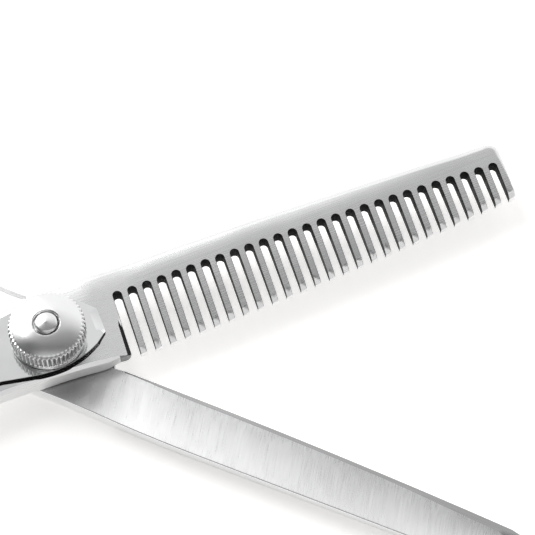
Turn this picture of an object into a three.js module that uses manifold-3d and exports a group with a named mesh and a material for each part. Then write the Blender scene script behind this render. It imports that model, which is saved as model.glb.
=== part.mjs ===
// Thinning shears, left-handed, opened 44.5 degrees. Millimetres, +Z up.
// The origin is on the pivot axis at the level that the shears lie on. +X runs between the open
// blades towards their tips. Each half is drawn in its own closed frame, where +X runs straight
// along the closed shears, and is then turned about the pivot by half of the opening.
import * as THREE from 'three';
import { mergeVertices } from 'three/addons/utils/BufferGeometryUtils.js';
import Module from 'manifold-3d';

const wasm = await Module();
wasm.setup();

// ---- driving dimensions ---------------------------------------------------------------------
const HALF_OPENING = THREE.MathUtils.degToRad(22.25);

// Levels: the plain half lies underneath, the toothed half on top of it.
const RIDE_LEVEL = 2.9; // where the two inner faces meet
const RIDE_GAP = 0.05; // each inner face stays this far from the ride level
const PLAIN_TOP = RIDE_LEVEL - RIDE_GAP;
const TOOTHED_BOTTOM = RIDE_LEVEL + RIDE_GAP;
const HEEL_TOP = 5.2; // outer face of the toothed blade
const PAD_TOP = 5.8; // raised flat that the knob sits on
const RING_TOP = 5.4; // finger and thumb ring, from the table upwards

// Toothed blade
const SLOTS = 27;
const SLOT_PITCH = 2.077;
const SLOT_WIDTH = 1.2;
const FIRST_SLOT = 10.36;
const SLOT_LEAN = THREE.MathUtils.degToRad(-3.8);
const HEEL_END = FIRST_SLOT - SLOT_WIDTH / 2 + 0.2;
const TOOTHED_TIP = 66.3;
const TIP_BEVEL = 0.75; // short bevel at the end of each tooth

// Plain blade
const PLAIN_TIP = 67.6;
const RIDE_STRIP = 0.55; // flat strip behind the cutting edge
const HOLLOW_START = 9.7;
const HOLLOW_DEPTH = 0.22;

// Rings: an oval centre line with an oval section
const THUMB_RING = { x: -58, y: -16.6, alongX: 14.2, alongY: 13 };
const FINGER_RING = { x: -63.5, y: 16.6, alongX: 14.2, alongY: 13 };
const RING_WALL = 4.4;
const RING_SQUARENESS = 2.4;
const CLEAR_OF_PIVOT = -27; // beyond this the two shanks lie side by side, at the same levels

// Pivot stack
const HEAD_RADIUS = 3.9;
const HEAD_HEIGHT = 1;
const KEY_RADIUS = 3;
const KEY_FLAT = 2.4; // half the distance across the key's flats
const JOURNAL_RADIUS = 2.3;
const JOURNAL_TOP = 5.7;
const BUSH_RADIUS = 3.2;
const THREAD_RADIUS = 1.45;
const SCREW_TOP = 10.2;
const FIT = 0.05; // clearance round each piece that sits in another
const WASHER_OUTER = 3.8;
const WASHER_THICK = 0.3;
const SPRING_HEIGHT = 0.75;
const SPRING_WAVES = 3;

// Tension knob
const KNOB_BASE = 6.05;
const KNOB_RADIUS = 5;
const KNOB_RIM = 0.75; // plain band under the flutes
const KNOB_SIDE = 2.9;
const KNOB_CROWN = 3.7;
const KNOB_MOUTH = 1.95;
const KNOB_FLUTES = 50;
const FLUTE_DEPTH = 0.16;
const RECESS_RADIUS = 4.15;
const RECESS_TOP = 7.42;

// Rubber bumper and screw-in finger rest
const BUMPER_X = -59;
const BUMPER_RADIUS = 2;
const BUMPER_STEM = 1;
const REST_STUD = 1.1;
const REST_ANGLE = THREE.MathUtils.degToRad(172);

// ---- materials ------------------------------------------------------------------------------
const steel = new THREE.MeshStandardMaterial({ color: 0xc9cbcd, roughness: 0.22, metalness: 1 });
const satinSteel = new THREE.MeshStandardMaterial({ color: 0xbfc1c3, roughness: 0.38, metalness: 1 });
const knobChrome = new THREE.MeshStandardMaterial({ color: 0xd6d7d8, roughness: 0.18, metalness: 1 });
const springSteel = new THREE.MeshStandardMaterial({ color: 0x8f9194, roughness: 0.3, metalness: 1 });
const nylon = new THREE.MeshStandardMaterial({ color: 0xe6e4dc, roughness: 0.55, metalness: 0 });
const rubber = new THREE.MeshStandardMaterial({ color: 0x1d1d1e, roughness: 0.8, metalness: 0 });

// ---- helpers --------------------------------------------------------------------------------
/** The signed volume of a closed indexed geometry: negative when its faces point inwards. */
function signedVolume(geometry) {
  const { position } = geometry.attributes;
  const corner = [0, 1, 2].map(() => new THREE.Vector3());
  let volume = 0;
  for (let i = 0; i < geometry.index.count; i += 3) {
    corner.forEach((point, k) => point.fromBufferAttribute(position, geometry.index.getX(i + k)));
    volume += corner[0].dot(corner[1].cross(corner[2])) / 6;
  }
  return volume;
}

/** A manifold solid from a closed three.js geometry, with its faces turned outwards. */
function solid(geometry) {
  const bare = geometry.clone();
  bare.deleteAttribute('normal');
  bare.deleteAttribute('uv');
  const merged = mergeVertices(bare, 1e-5);
  const faces = new Uint32Array(merged.index.array);
  if (signedVolume(merged) < 0) faces.reverse();
  return new wasm.Manifold(new wasm.Mesh({
    numProp: 3,
    vertProperties: new Float32Array(merged.attributes.position.array),
    triVerts: faces,
  }));
}

/** A three.js geometry from a manifold solid. */
function geometryOf(body) {
  const mesh = body.getMesh();
  const geometry = new THREE.BufferGeometry();
  geometry.setAttribute('position', new THREE.BufferAttribute(new Float32Array(mesh.vertProperties), 3));
  geometry.setIndex(new THREE.BufferAttribute(new Uint32Array(mesh.triVerts), 1));
  geometry.computeVertexNormals();
  return geometry;
}

function named(name, shape, material) {
  const body = shape.isBufferGeometry ? solid(shape) : shape;
  const mesh = new THREE.Mesh(geometryOf(body), material);
  mesh.name = name;
  return mesh;
}

/** A closed body through sections that all have the same number of points. */
function loft(sections, joined = false) {
  const size = sections[0].length;
  const rows = joined ? sections.length : sections.length - 1;
  const points = sections.flat();
  const faces = [];
  for (let row = 0; row < rows; row++) {
    const here = row * size;
    const next = ((row + 1) % sections.length) * size;
    for (let i = 0; i < size; i++) {
      const j = (i + 1) % size;
      faces.push(here + i, here + j, next + j, here + i, next + j, next + i);
    }
  }
  if (!joined) {
    for (const [first, turn] of [[0, 1], [rows * size, 0]]) {
      const middle = new THREE.Vector3();
      for (let i = 0; i < size; i++) middle.addScaledVector(points[first + i], 1 / size);
      points.push(middle);
      for (let i = 0; i < size; i++) {
        const corner = [first + i, first + (i + 1) % size];
        faces.push(points.length - 1, corner[turn], corner[1 - turn]);
      }
    }
  }
  const geometry = new THREE.BufferGeometry().setFromPoints(points);
  geometry.setIndex(faces);
  return geometry;
}

/** A solid of revolution about Z from [radius, height] points that start and end on the axis. */
function lathe(profile, segments = 40) {
  const points = profile.map(([radius, height]) => new THREE.Vector2(radius, height));
  return new THREE.LatheGeometry(points, segments).rotateX(Math.PI / 2);
}

/** A flat ring about Z: a closed rectangular profile. */
function washer(inner, outer, low, high, segments = 40) {
  return lathe([[inner, low], [outer, low], [outer, high], [inner, high], [inner, low]], segments);
}

function cylinder(radius, low, high, segments = 40) {
  return lathe([[0, low], [radius, low], [radius, high], [0, high]], segments);
}

/** A plane shape pushed up from one level to another. */
function plate(shape, low, high, curveSegments = 12) {
  const options = { depth: high - low, bevelEnabled: false, curveSegments };
  return new THREE.ExtrudeGeometry(shape, options).translate(0, 0, low);
}

/** A round shaft section with two flats. */
function doubleD(radius, flat) {
  const corner = Math.acos(flat / radius);
  const shape = new THREE.Shape();
  shape.absarc(0, 0, radius, corner, Math.PI - corner, false);
  shape.absarc(0, 0, radius, Math.PI + corner, 2 * Math.PI - corner, false);
  return shape;
}

/** A rounded bar section at a point of a centre line: a super-ellipse across the direction of travel. */
function barSection(centre, along, width, low, high, squareness = 3, count = 20) {
  const across = new THREE.Vector2(along.y, -along.x).normalize();
  const points = [];
  for (let i = 0; i < count; i++) {
    const angle = (i / count) * 2 * Math.PI;
    const round = (value) => Math.sign(value) * Math.abs(value) ** (2 / squareness);
    const side = round(Math.cos(angle)) * width / 2;
    const height = (low + high) / 2 + round(Math.sin(angle)) * (high - low) / 2;
    points.push(new THREE.Vector3(centre.x + across.x * side, centre.y + across.y * side, height));
  }
  return points;
}

// ---- the two halves -------------------------------------------------------------------------
const BACKWARDS = new THREE.Vector2(-1, 0);

/** The toothed half's shank from the pivot to the ring: x, outer edge, inner edge, low and high level. */
const SHANK = [
  [-2, -5.35, 6.3, TOOTHED_BOTTOM, PAD_TOP],
  [-8, -5.5, 5.4, TOOTHED_BOTTOM, PAD_TOP],
  [-13, -5.9, 3.6, TOOTHED_BOTTOM, PAD_TOP],
  [-18, -6.2, 1.8, TOOTHED_BOTTOM, 5.75],
  [-24, -6.4, -0.1, TOOTHED_BOTTOM, 5.7],
  [-30, -6.5, -0.9, 2.1, 5.6],
  [-38, -6.7, -1.4, 0.8, 5.45],
  [-46, -7.4, -1.9, 0.25, RING_TOP],
];

/** The shank as a lofted bar that runs into its ring. The plain half's shank is the toothed half's
    turned over about the ride level, until both share the rings' levels. */
function shank(ring, turnedOver) {
  const side = turnedOver ? -1 : 1;
  const rows = SHANK.map(([x, outer, inner, low, high]) => {
    const overlapsOther = x > CLEAR_OF_PIVOT;
    const under = overlapsOther ? [2 * RIDE_LEVEL - high, PLAIN_TOP] : [RING_TOP - high, RING_TOP - low];
    const [bottom, top] = turnedOver ? under : [low, high];
    return [x, side * outer, side * inner, bottom, top];
  });
  const ringEdge = ring.y + side * ring.alongY;
  rows.push([ring.x + 1, ringEdge - side * 2, ringEdge + side * 2.1, 0.1, RING_TOP - 0.1]);
  const edges = rows.map(([x, outer, inner]) => new THREE.Vector3(x, outer, inner));
  const levels = rows.map(([x, , , low, high]) => new THREE.Vector3(x, Math.max(0, low), high));
  const edgeCurve = new THREE.CatmullRomCurve3(edges, false, 'catmullrom', 0.5);
  const levelCurve = new THREE.CatmullRomCurve3(levels, false, 'catmullrom', 0.5);
  const steps = 20;
  const sections = [];
  for (let i = 0; i <= steps; i++) {
    const edge = edgeCurve.getPoint(i / steps);
    const level = levelCurve.getPoint(i / steps);
    const centre = new THREE.Vector2(edge.x, (edge.y + edge.z) / 2);
    const squareness = THREE.MathUtils.lerp(5, RING_SQUARENESS, i / steps);
    const width = Math.abs(edge.z - edge.y);
    sections.push(barSection(centre, BACKWARDS, width, level.y, level.z, squareness));
  }
  return solid(loft(sections));
}

/** A finger or thumb ring: an oval bar closed on itself. */
function ringBody({ x, y, alongX, alongY }, steps = 48) {
  const sections = [];
  for (let i = 0; i < steps; i++) {
    const angle = (i / steps) * 2 * Math.PI;
    const centre = new THREE.Vector2(x + alongX * Math.cos(angle), y + alongY * Math.sin(angle));
    const along = new THREE.Vector2(-alongX * Math.sin(angle), alongY * Math.cos(angle));
    sections.push(barSection(centre, along, RING_WALL, 0, RING_TOP, RING_SQUARENESS, 14));
  }
  return solid(loft(sections, true));
}

/** Lines of the toothed blade in its closed frame. */
const toothedSpine = (x) => 6.8 - 0.00065 * (x - 16) ** 2;
const slotRoof = (x) => 3.15 - 0.00064 * (x - 25) ** 2;
const toothedEdge = (x) => {
  const heel = -5.4 - 0.055 * Math.max(0, x);
  const teeth = -6.05 + 0.015 * (x - 10.4) + 0.00067 * (x - 10.4) ** 2;
  return x < HEEL_END ? heel : teeth;
};

/** Section of the toothed blade: flat heel near the pivot, teeth ground thin towards their ends. */
function toothedSection(x, ground) {
  const spine = toothedSpine(x);
  const edge = toothedEdge(x);
  const along = THREE.MathUtils.clamp((x - HEEL_END) / (TOOTHED_TIP - HEEL_END), 0, 1);
  const top = HEEL_TOP - 0.7 * along;
  const roof = ground ? slotRoof(x) : edge + 1;
  const tipTop = ground ? TOOTHED_BOTTOM + 0.95 : top;
  const tipEnd = ground ? TOOTHED_BOTTOM + 0.5 : top;
  const inner = TOOTHED_BOTTOM;
  const outline = [
    [edge, inner], [edge + RIDE_STRIP, inner], [(edge + spine) / 2, inner + HOLLOW_DEPTH],
    [spine - RIDE_STRIP, inner], [spine, inner + 0.4], [spine, top - 1], [spine - 0.3, top - 0.4],
    [spine - 1.1, top - 0.08], [spine - 2, top], [roof, top - 0.05],
    [edge + TIP_BEVEL, tipTop], [edge, tipEnd],
  ];
  return outline.map(([y, z]) => new THREE.Vector3(x, y, z)).reverse();
}

function toothedBladeBody() {
  const stations = [-6, 0, 5, HEEL_END - 0.01, HEEL_END, 16, 24, 32, 40, 48, 56, 62, TOOTHED_TIP];
  const sections = stations.map((x) => toothedSection(x, x >= HEEL_END));
  return solid(loft(sections));
}

/** What is cut away past the blade's slanted end, with its rounded top corner. */
function toothedEndCut() {
  const shape = new THREE.Shape();
  const corner = 1.1;
  const top = toothedSpine(TOOTHED_TIP);
  shape.moveTo(TOOTHED_TIP - 0.75, toothedEdge(TOOTHED_TIP) - 2);
  shape.lineTo(TOOTHED_TIP - 0.02, top - corner - 0.6);
  shape.quadraticCurveTo(TOOTHED_TIP, top, TOOTHED_TIP - corner - 0.5, top + 0.05);
  shape.lineTo(TOOTHED_TIP - corner - 0.5, top + 2);
  shape.lineTo(TOOTHED_TIP + 3, top + 2);
  shape.lineTo(TOOTHED_TIP + 3, toothedEdge(TOOTHED_TIP) - 2);
  return solid(plate(shape, 0, 8));
}

/** One slot between two teeth, with a round roof. */
function slotCut(index) {
  const x = FIRST_SLOT + SLOT_PITCH * index;
  const half = SLOT_WIDTH / 2;
  const shape = new THREE.Shape();
  shape.moveTo(half, -14);
  shape.lineTo(half, 0);
  shape.absarc(0, 0, half, 0, Math.PI, false);
  shape.lineTo(-half, -14);
  const cut = plate(shape, 0, 8, 5).rotateZ(SLOT_LEAN).translate(x, slotRoof(x) - half, 0);
  return solid(cut);
}

/** The raised flat round the pivot. Its wall slopes out to the blade's outer face. */
function padBody() {
  const wall = 0.4;
  const shape = new THREE.Shape();
  shape.moveTo(-10, -3.6);
  shape.lineTo(-5.4, -4.35);
  shape.quadraticCurveTo(-1, -5.35, 1.6, -4.85);
  shape.lineTo(5.4, -3.3);
  shape.lineTo(7.1, -1.95);
  shape.lineTo(7.1, 1.55);
  shape.lineTo(5.1, 3.57);
  shape.quadraticCurveTo(1.5, 5.5, -2, 5.4);
  shape.lineTo(-10, 4.2);
  const options = { depth: 1, bevelThickness: PAD_TOP - HEEL_TOP, bevelSize: wall, bevelSegments: 1 };
  const top = new THREE.ExtrudeGeometry(shape, { ...options, bevelEnabled: true, curveSegments: 8 });
  return solid(top.translate(0, 0, HEEL_TOP - options.depth));
}

function toothedBlade() {
  let body = toothedBladeBody().add(padBody());
  body = body.add(shank(THUMB_RING, false)).add(ringBody(THUMB_RING));
  for (let index = 0; index < SLOTS; index++) body = body.subtract(slotCut(index));
  body = body.subtract(toothedEndCut());
  return body.subtract(solid(cylinder(BUSH_RADIUS + FIT, 0, 8)));
}

/** Lines of the plain blade in its closed frame. */
const plainEdge = (x) => 0.3 - 0.00054 * Math.max(0, x - 10) ** 2;
const plainSpine = (x) => -7.05 + 0.0125 * Math.max(0, x - 52) ** 2 + 0.0021 * Math.max(0, 24 - x) ** 2;

/** Section of the plain blade: inner face hollow, outer face rounded up to the cutting edge. */
function plainSection(x) {
  const edge = plainEdge(x);
  const spine = plainSpine(x);
  const width = edge - spine;
  const depth = x > HOLLOW_START ? HOLLOW_DEPTH : 0.01;
  const top = PLAIN_TOP;
  const along = THREE.MathUtils.clamp((x - HOLLOW_START) / (PLAIN_TIP - HOLLOW_START), 0, 1);
  const low = 0.9 * along;
  const outline = [
    [edge, top], [edge, top - 0.3], [edge - 0.2 * width, low + 0.9], [edge - 0.45 * width, low + 0.25],
    [spine + 1.2, low + 0.05], [spine + 0.35, low + 0.3], [spine, low + 0.9], [spine, top - 0.45],
    [spine + 0.35, top], [(edge + spine) / 2, top - depth], [edge - RIDE_STRIP, top],
  ];
  return outline.map(([y, z]) => new THREE.Vector3(x, y, z)).reverse();
}

/** The flat part of the plain half round the pivot. */
function plainPivotBody() {
  const shape = new THREE.Shape();
  shape.moveTo(-9, 5.45);
  shape.quadraticCurveTo(-3, 5.6, 1, 5.4);
  shape.quadraticCurveTo(6, 4.8, 10.5, 0.3);
  shape.lineTo(12, plainSpine(12));
  shape.lineTo(4, -6.25);
  shape.quadraticCurveTo(-2, -6.5, -9, -5);
  return solid(plate(shape, 0, PLAIN_TOP));
}

/** What is cut away past the plain blade's rounded point. */
function plainEndCut() {
  const tip = PLAIN_TIP;
  const shape = new THREE.Shape();
  shape.moveTo(tip - 3.2, plainEdge(tip) + 2);
  shape.lineTo(tip - 3.2, plainEdge(tip - 3.2) + 0.01);
  shape.quadraticCurveTo(tip, plainEdge(tip), tip, -3.1);
  shape.quadraticCurveTo(tip - 0.1, -4.4, tip - 2.4, plainSpine(tip - 2.4) - 0.01);
  shape.lineTo(tip - 2.4, -9);
  shape.lineTo(tip + 3, -9);
  shape.lineTo(tip + 3, plainEdge(tip) + 2);
  return solid(plate(shape, -1, 8));
}

/** The bumper's seat: a flat stud on the finger ring that faces the thumb ring. */
function bumperSeat() {
  const seat = cylinder(BUMPER_RADIUS + 0.35, 0, 3.4, 24).rotateX(-Math.PI / 2);
  return solid(seat.translate(BUMPER_X, 1.05, RING_TOP / 2));
}

function bumperHole() {
  const hole = cylinder(BUMPER_STEM + FIT, -1, 2.6, 24).rotateX(-Math.PI / 2);
  return solid(hole.translate(BUMPER_X, 1.05, RING_TOP / 2));
}

/** Where the finger rest screws into the finger ring, and the direction it stands out in. */
const restSeat = new THREE.Vector3(
  FINGER_RING.x + (FINGER_RING.alongX + RING_WALL / 2) * Math.cos(REST_ANGLE),
  FINGER_RING.y + (FINGER_RING.alongY + RING_WALL / 2) * Math.sin(REST_ANGLE),
  RING_TOP / 2,
);

/** Turns a piece drawn along +Z so that it stands out of the finger ring at the rest's seat. */
function atRestSeat(geometry) {
  return geometry.rotateY(Math.PI / 2).rotateZ(REST_ANGLE).translate(restSeat.x, restSeat.y, restSeat.z);
}

function plainBlade() {
  const stations = [8, HOLLOW_START, HOLLOW_START + 0.6, 16, 24, 32, 40, 48, 54, 59, 64, PLAIN_TIP];
  const blade = solid(loft(stations.map(plainSection))).subtract(plainEndCut());
  let body = plainPivotBody().add(blade).add(shank(FINGER_RING, true)).add(ringBody(FINGER_RING));
  body = body.add(bumperSeat()).add(solid(atRestSeat(cylinder(2.2, -1.5, 0.5, 24))));
  const head = solid(cylinder(HEAD_RADIUS + FIT, -1, HEAD_HEIGHT + FIT));
  const key = solid(plate(doubleD(KEY_RADIUS + FIT, KEY_FLAT + FIT), 0, 4));
  const stud = solid(atRestSeat(cylinder(REST_STUD + FIT, -2.7, 2, 24)));
  return body.subtract(head).subtract(key).subtract(stud).subtract(bumperHole());
}

// ---- pivot stack ----------------------------------------------------------------------------
/** Plain-headed screw: flush head, key that holds it in the plain half, journal and thread. */
function pivotScrew() {
  const dome = 0.45;
  const spindle = lathe([
    [0, 0], [HEAD_RADIUS, 0], [HEAD_RADIUS, HEAD_HEIGHT], [JOURNAL_RADIUS, HEAD_HEIGHT],
    [JOURNAL_RADIUS, JOURNAL_TOP], [THREAD_RADIUS, JOURNAL_TOP], [THREAD_RADIUS, SCREW_TOP - dome],
    [THREAD_RADIUS * 0.7, SCREW_TOP - dome * 0.35], [0, SCREW_TOP],
  ]);
  const key = plate(doubleD(KEY_RADIUS, KEY_FLAT), HEAD_HEIGHT - 0.1, PLAIN_TOP - 0.1);
  return solid(spindle).add(solid(key));
}

/** Bearing bush in the toothed half's hole. */
const pivotBush = () => washer(JOURNAL_RADIUS + FIT, BUSH_RADIUS, TOOTHED_BOTTOM, PAD_TOP);

const THRUST_LOW = PAD_TOP + FIT;
const SPRING_LOW = THRUST_LOW + WASHER_THICK + FIT;
const PRESSURE_LOW = SPRING_LOW + SPRING_HEIGHT + FIT;
const thrustWasher = () => washer(THREAD_RADIUS + 0.15, WASHER_OUTER, THRUST_LOW, THRUST_LOW + WASHER_THICK);
const pressureWasher = () => washer(THREAD_RADIUS + 0.15, WASHER_OUTER, PRESSURE_LOW,
  PRESSURE_LOW + WASHER_THICK * 0.6);

/** Wave spring: a thin flat ring that rises and falls round the screw. */
function waveSpring(steps = 48) {
  const inner = THREAD_RADIUS + 0.6;
  const outer = WASHER_OUTER - 0.2;
  const thick = 0.18;
  const swing = (SPRING_HEIGHT - thick) / 2;
  const sections = [];
  for (let i = 0; i < steps; i++) {
    const angle = (i / steps) * 2 * Math.PI;
    const low = SPRING_LOW + swing * (1 + Math.cos(SPRING_WAVES * angle));
    const at = (radius, z) => new THREE.Vector3(radius * Math.cos(angle), radius * Math.sin(angle), z);
    sections.push([at(outer, low), at(outer, low + thick), at(inner, low + thick), at(inner, low)]);
  }
  return loft(sections, true);
}

/** Fluted tension knob: plain band, flutes, shallow crown with a countersunk mouth, open recess below. */
function tensionKnob() {
  const outline = new THREE.Shape();
  for (let i = 0; i < KNOB_FLUTES; i++) {
    const pitch = (2 * Math.PI) / KNOB_FLUTES;
    for (const [part, radius] of [[0, KNOB_RADIUS - FLUTE_DEPTH], [0.3, KNOB_RADIUS], [0.7, KNOB_RADIUS]]) {
      const angle = (i + part) * pitch;
      const draw = i === 0 && part === 0 ? 'moveTo' : 'lineTo';
      outline[draw](radius * Math.cos(angle), radius * Math.sin(angle));
    }
  }
  const top = KNOB_BASE + KNOB_SIDE;
  const fluted = solid(plate(outline, KNOB_BASE + KNOB_RIM, top - 0.15));
  const bore = THREAD_RADIUS + FIT;
  const core = solid(lathe([
    [bore, RECESS_TOP], [RECESS_RADIUS, RECESS_TOP], [RECESS_RADIUS, KNOB_BASE],
    [KNOB_RADIUS - 0.12, KNOB_BASE], [KNOB_RADIUS, KNOB_BASE + 0.12], [KNOB_RADIUS, KNOB_BASE + KNOB_RIM],
    [KNOB_RADIUS - FLUTE_DEPTH, KNOB_BASE + KNOB_RIM + 0.05], [KNOB_RADIUS - FLUTE_DEPTH, top - 0.15],
    [KNOB_RADIUS - 0.35, top], [(KNOB_RADIUS + KNOB_MOUTH) / 2, top + 0.5], [KNOB_MOUTH, KNOB_BASE + KNOB_CROWN],
    [bore, KNOB_BASE + KNOB_CROWN - 0.4], [bore, RECESS_TOP],
  ], 50));
  const hollow = solid(cylinder(RECESS_RADIUS, KNOB_BASE - 1, RECESS_TOP, 50));
  const hole = solid(cylinder(bore, RECESS_TOP - 1, top + 2, 50));
  return fluted.subtract(hollow).subtract(hole).add(core);
}

// ---- small parts ----------------------------------------------------------------------------
/** Rubber bumper: a button with a stem, lying along Y. Its face meets the thumb ring when closed. */
function rubberBumper() {
  const head = 1.75;
  const button = lathe([
    [0, -2.2], [BUMPER_STEM * 0.9, -2.2], [BUMPER_STEM, -2], [BUMPER_STEM, 0.05], [BUMPER_RADIUS, 0.05],
    [BUMPER_RADIUS, head * 0.65], [BUMPER_RADIUS * 0.8, head * 0.93], [0, head],
  ], 24);
  return button.rotateX(Math.PI / 2).translate(BUMPER_X, 1, RING_TOP / 2);
}

/** Finger rest: a stud, a collar and a curved horn that ends in a ball. */
function fingerRest() {
  const route = new THREE.CatmullRomCurve3([
    new THREE.Vector3(0, 0, 0.8), new THREE.Vector3(0, 0, 3), new THREE.Vector3(0, -0.6, 7.5),
    new THREE.Vector3(0, -3.6, 12.3), new THREE.Vector3(0, -9, 15.5),
  ]);
  const radii = [1.95, 1.6, 1.45, 1.6, 1.9];
  const steps = 16;
  const sides = 16;
  const sections = [];
  for (let i = 0; i <= steps; i++) {
    const t = i / steps;
    const centre = route.getPoint(t);
    const along = route.getTangent(t);
    const side = new THREE.Vector3(0, along.z, -along.y);
    const place = t * (radii.length - 1);
    const from = Math.min(Math.floor(place), radii.length - 2);
    const radius = THREE.MathUtils.lerp(radii[from], radii[from + 1], place - from);
    const section = [];
    for (let k = 0; k < sides; k++) {
      const angle = (k / sides) * 2 * Math.PI;
      const point = centre.clone().addScaledVector(side, radius * Math.cos(angle));
      section.push(point.setX(radius * Math.sin(angle)));
    }
    sections.push(section);
  }
  const end = route.getPoint(1);
  const ball = new THREE.SphereGeometry(2.15, 20, 12).rotateX(Math.PI / 2).translate(end.x, end.y, end.z);
  const stud = cylinder(REST_STUD, -2.4, 1, 24);
  return solid(atRestSeat(loft(sections))).add(solid(atRestSeat(ball))).add(solid(atRestSeat(stud)));
}

// ---- assembly -------------------------------------------------------------------------------
const plainHalf = new THREE.Group();
plainHalf.rotation.z = -HALF_OPENING;
plainHalf.add(
  named('plain_blade', plainBlade(), steel),
  named('pivot_screw', pivotScrew(), steel),
  named('rubber_bumper', rubberBumper(), rubber),
  named('finger_rest', fingerRest(), steel),
);

const toothedHalf = new THREE.Group();
toothedHalf.rotation.z = HALF_OPENING;
toothedHalf.add(
  named('toothed_blade', toothedBlade(), satinSteel),
  named('pivot_bush', pivotBush(), nylon),
);

const tensioner = new THREE.Group();
tensioner.add(
  named('thrust_washer', thrustWasher(), nylon),
  named('wave_spring', waveSpring(), springSteel),
  named('pressure_washer', pressureWasher(), springSteel),
  named('tension_knob', tensionKnob(), knobChrome),
);

const shears = new THREE.Group();
shears.add(plainHalf, toothedHalf, tensioner);

export default shears;
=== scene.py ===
"""Thinning shears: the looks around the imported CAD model. Lengths are millimetres until a mesh is made."""

import math

import bmesh
import bpy
import numpy as np
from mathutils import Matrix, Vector, geometry


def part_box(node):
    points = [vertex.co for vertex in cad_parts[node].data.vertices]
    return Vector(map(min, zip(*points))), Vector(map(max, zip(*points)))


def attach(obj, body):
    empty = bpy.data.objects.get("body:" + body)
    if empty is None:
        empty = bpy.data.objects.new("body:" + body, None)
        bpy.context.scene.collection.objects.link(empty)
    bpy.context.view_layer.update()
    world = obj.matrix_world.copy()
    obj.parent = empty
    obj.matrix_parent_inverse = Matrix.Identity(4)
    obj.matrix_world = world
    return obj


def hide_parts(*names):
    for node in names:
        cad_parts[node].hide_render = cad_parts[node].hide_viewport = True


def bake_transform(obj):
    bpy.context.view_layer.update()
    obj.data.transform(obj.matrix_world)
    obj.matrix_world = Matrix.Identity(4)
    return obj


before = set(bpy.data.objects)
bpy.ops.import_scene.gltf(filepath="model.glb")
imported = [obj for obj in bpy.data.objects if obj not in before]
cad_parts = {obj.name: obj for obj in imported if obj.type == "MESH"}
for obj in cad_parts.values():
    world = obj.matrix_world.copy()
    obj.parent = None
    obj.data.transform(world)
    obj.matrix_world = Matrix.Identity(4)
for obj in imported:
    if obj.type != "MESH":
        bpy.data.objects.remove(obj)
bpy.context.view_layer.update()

MM = 0.001
HALF_OPENING = math.radians(22.25)  # each half is drawn closed and turned by this much at rest

# Levels of the two halves
RIDE_LEVEL = 2.9
PLAIN_TOP = RIDE_LEVEL - 0.05
TOOTHED_BOTTOM = RIDE_LEVEL + 0.05
PAD_TOP = 5.8
RING_TOP = 5.4

# Toothed blade
SLOTS = 27
SLOT_PITCH = 2.077
SLOT_WIDTH = 1.2
FIRST_SLOT = 10.36
SLOT_LEAN = math.radians(-3.8)
TOOTHED_TIP = 66.3
TIP_BEVEL = 0.75

# Plain blade
PLAIN_TIP = 67.6
RIDE_STRIP = 0.55
HOLLOW_START = 7.5
HOLLOW_DEPTH = 0.12

# Rings: centre and half axes of the oval centre line
THUMB_RING = (-58, -16.6)
FINGER_RING = (-63.5, 16.6)
RING_AXES = np.array([14.2, 13])
RING_WALL = 4.4
RING_HOLE_ROUNDING = (2.05, 2.65)

# Round holes at the pivot
BUSH_HOLE = 3.25
HEAD_HOLE = 3.97

# Shank of the toothed half: x, outer edge, inner edge, low and high level
OUTER, INNER, LOW, HIGH = range(1, 5)
SHANK = np.array([
    [-2, -5.75, 6.3, TOOTHED_BOTTOM, PAD_TOP],
    [-8, -5.52, 5.4, TOOTHED_BOTTOM, PAD_TOP],
    [-13, -5.85, 3.6, TOOTHED_BOTTOM, PAD_TOP],
    [-18, -6.2, 1.8, TOOTHED_BOTTOM, 5.75],
    [-24, -6.4, -0.1, TOOTHED_BOTTOM, 5.7],
    [-30, -6.5, -0.9, 2.1, 5.6],
    [-38, -6.7, -1.4, 0.8, 5.45],
    [-46, -7.4, -1.75, 0.25, RING_TOP],
])


# ---- shapes in the plane ------------------------------------------------------------------------
def smoothstep(low, high, x):
    t = np.clip((np.asarray(x, float) - low) / (high - low), 0, 1)
    return t * t * (3 - 2 * t)


def mix(a, b, t):
    return a + (b - a) * t


def points(*pairs):
    return np.array(pairs, float)


def line(start, end, step):
    """Points from start up to, not with, end."""
    start, end = np.asarray(start, float), np.asarray(end, float)
    count = max(1, round(np.linalg.norm(end - start) / step))
    t = np.arange(count)[:, None] / count
    return start + (end - start) * t


def graph(function, xs):
    xs = np.asarray(xs, float)
    return np.stack([xs, function(xs)], axis=1)


def arc(centre, axes, start, end, count):
    """Points on an oval from angle start up to, not with, angle end, in degrees."""
    angle = np.radians(start + (end - start) * np.arange(count) / count)
    return np.stack([centre[0] + axes[0] * np.cos(angle), centre[1] + axes[1] * np.sin(angle)], axis=1)


def bezier(p0, p1, p2, p3, count):
    """Points on a cubic curve from p0 up to, not with, p3."""
    t = (np.arange(count) / count)[:, None]
    p0, p1, p2, p3 = (np.asarray(p, float) for p in (p0, p1, p2, p3))
    return (1 - t) ** 3 * p0 + 3 * t * (1 - t) ** 2 * p1 + 3 * t * t * (1 - t) * p2 + t ** 3 * p3


def through(knots, count):
    """A smooth curve through knots, each a row of numbers, with its last knot left out."""
    knots = np.asarray(knots, float)
    ends = np.vstack([2 * knots[0] - knots[1], knots, 2 * knots[-1] - knots[-2]])
    place = np.arange(count) / count * (len(knots) - 1)
    i = np.minimum(place.astype(int), len(knots) - 2)
    t = (place - i)[:, None]
    a, b, c, d = ends[i], ends[i + 1], ends[i + 2], ends[i + 3]
    return b + 0.5 * t * (c - a + t * (2 * a - 5 * b + 4 * c - d + t * (3 * (b - c) + d - a)))


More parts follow.
